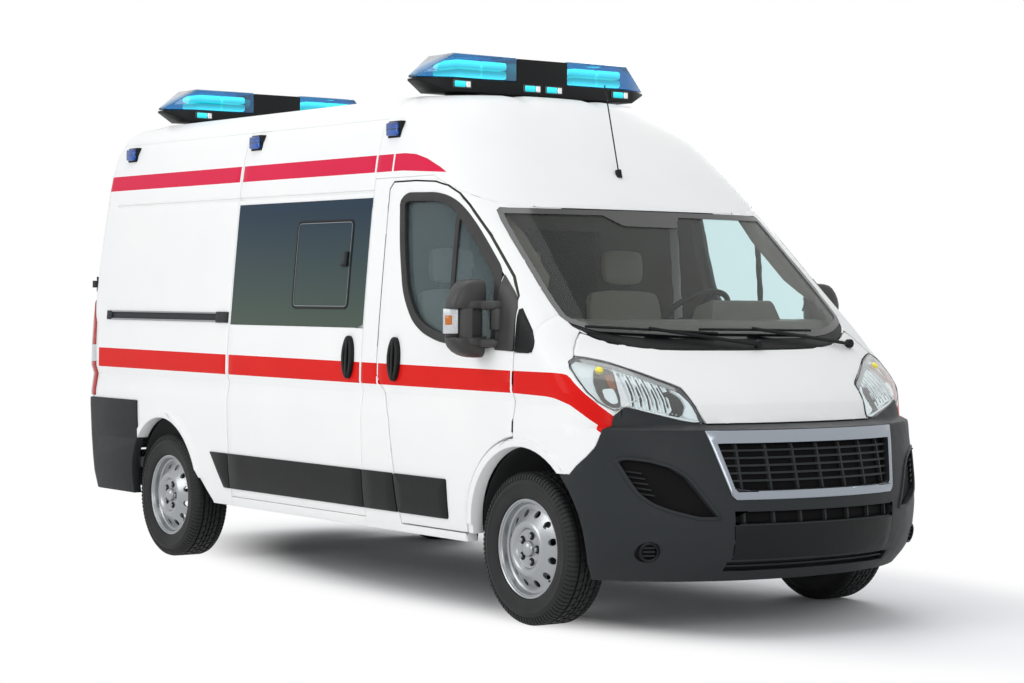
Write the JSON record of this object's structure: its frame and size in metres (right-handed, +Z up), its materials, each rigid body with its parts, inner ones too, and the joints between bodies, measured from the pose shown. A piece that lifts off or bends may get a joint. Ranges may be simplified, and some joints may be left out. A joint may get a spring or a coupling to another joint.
{
  "type": "panel-van ambulance",
  "caption": "High-roof panel-van ambulance with hinged cab, bonnet and rear doors, steered front wheels, roof light bars and red side stripes.",
  "frame": {"origin": "on the road under the middle of the length and width", "axes": "+X to the front, +Y to the left, +Z up"},
  "size_m": [5.4116, 2.4394, 2.734],
  "materials": {
    "body_paint": "gloss",
    "clear_glass": "gloss",
    "dark_glass": "gloss",
    "tyre_rubber": "matte",
    "wheel_paint": "satin",
    "lamp_plastic": "gloss",
    "blue_lens": "gloss",
    "chrome_trim": "gloss",
    "seat_cloth": "matte",
    "inner_panel": "satin",
    "dark_steel": "satin",
    "black_plastic": "satin"
  },
  "bodies": {
    "van_body": {"roof_panel": "body_paint", "roof_cap": "body_paint", "quarter_panel_right": "body_paint", "side_panel_left": "body_paint", "sliding_door": "body_paint", "cab_frame": "body_paint", "front_fenders": "body_paint", "front_bumper": "black_plastic", "grille": "black_plastic", "grille_surround": "chrome_trim", "cowl_panel": "black_plastic", "windscreen": "clear_glass", "side_glass": "dark_glass", "headlamps": "lamp_plastic", "tail_lamps": "lamp_plastic", "side_trim": "black_plastic", "rear_bumper": "black_plastic", "beacon_bases": "black_plastic", "beacon_lenses": "blue_lens", "antenna": "black_plastic", "wipers": "black_plastic", "floor_pan": "inner_panel", "chassis": "dark_steel", "wheel_housings": "dark_steel", "bulkhead": "inner_panel", "dashboard": "black_plastic", "seats": "seat_cloth", "engine": "dark_steel", "front_suspension": "dark_steel", "rear_axle": "dark_steel", "underbody": "dark_steel", "door_hinges": "dark_steel"},
    "front_door_right": {"front_door_right": "body_paint", "front_glass_right": "dark_glass", "front_fittings_right": "black_plastic"},
    "front_door_left": {"front_door_left": "body_paint", "front_glass_left": "dark_glass", "front_fittings_left": "black_plastic"},
    "rear_door_right": {"rear_door_right": "body_paint", "rear_glass_right": "dark_glass", "rear_fittings_right": "black_plastic"},
    "rear_door_left": {"rear_door_left": "body_paint", "rear_glass_left": "dark_glass", "rear_fittings_left": "black_plastic"},
    "bonnet": {"bonnet": "body_paint"},
    "knuckle_right": {"knuckle_right": "dark_steel"},
    "knuckle_left": {"knuckle_left": "dark_steel"},
    "wheel_front_right": {"tyre_front_right": "tyre_rubber", "rim_front_right": "wheel_paint"},
    "wheel_front_left": {"tyre_front_left": "tyre_rubber", "rim_front_left": "wheel_paint"},
    "wheel_rear_right": {"tyre_rear_right": "tyre_rubber", "rim_rear_right": "wheel_paint"},
    "wheel_rear_left": {"tyre_rear_left": "tyre_rubber", "rim_rear_left": "wheel_paint"},
    "steering_wheel": {"steering_wheel": "black_plastic"}
  },
  "joints": [
    {"name": "front_door_right_hinge", "type": "hinge", "parent": "van_body", "child": "front_door_right", "pos_m": [1.65075, -1.01, 1], "axis": [0, 0, 1], "range_deg": [0, 70]},
    {"name": "rear_door_right_hinge", "type": "hinge", "parent": "van_body", "child": "rear_door_right", "pos_m": [-2.6895, -0.95, 1.2], "axis": [0, 0, 1], "range_deg": [0, 180]},
    {"name": "front_door_left_hinge", "type": "hinge", "parent": "van_body", "child": "front_door_left", "pos_m": [1.65075, 1.01, 1], "axis": [0, 0, -1], "range_deg": [0, 70]},
    {"name": "rear_door_left_hinge", "type": "hinge", "parent": "van_body", "child": "rear_door_left", "pos_m": [-2.6895, 0.95, 1.2], "axis": [0, 0, -1], "range_deg": [0, 180]},
    {"name": "bonnet_hinge", "type": "hinge", "parent": "van_body", "child": "bonnet", "pos_m": [1.9805, 0, 1.382], "axis": [0, -1, 0], "range_deg": [0, 60]},
    {"name": "steer_right", "type": "hinge", "parent": "van_body", "child": "knuckle_right", "pos_m": [1.7585, -0.8, 0.35], "axis": [0, 0, 1], "range_deg": [-34, 34]},
    {"name": "spin_front_right", "type": "hinge", "parent": "knuckle_right", "child": "wheel_front_right", "pos_m": [1.7585, -0.88, 0.35], "axis": [0, 1, 0], "continuous": true},
    {"name": "spin_rear_right", "type": "hinge", "parent": "van_body", "child": "wheel_rear_right", "pos_m": [-1.6915, -0.893, 0.35], "axis": [0, 1, 0], "continuous": true},
    {"name": "steer_left", "type": "hinge", "parent": "van_body", "child": "knuckle_left", "pos_m": [1.7585, 0.8, 0.35], "axis": [0, 0, 1], "range_deg": [-34, 34]},
    {"name": "spin_front_left", "type": "hinge", "parent": "knuckle_left", "child": "wheel_front_left", "pos_m": [1.7585, 0.88, 0.35], "axis": [0, 1, 0], "continuous": true},
    {"name": "spin_rear_left", "type": "hinge", "parent": "van_body", "child": "wheel_rear_left", "pos_m": [-1.6915, 0.893, 0.35], "axis": [0, 1, 0], "continuous": true},
    {"name": "steering_wheel_turn", "type": "hinge", "parent": "van_body", "child": "steering_wheel", "pos_m": [1.2985, 0.405, 1.41], "axis": [-0.6428, 0, 0.766], "range_deg": [-510, 510]}
  ],
  "couplings": [
    {"joint": "steer_right", "follows": "steer_left", "ratio": 1},
    {"joint": "steering_wheel_turn", "follows": "steer_left", "ratio": 15}
  ]
}
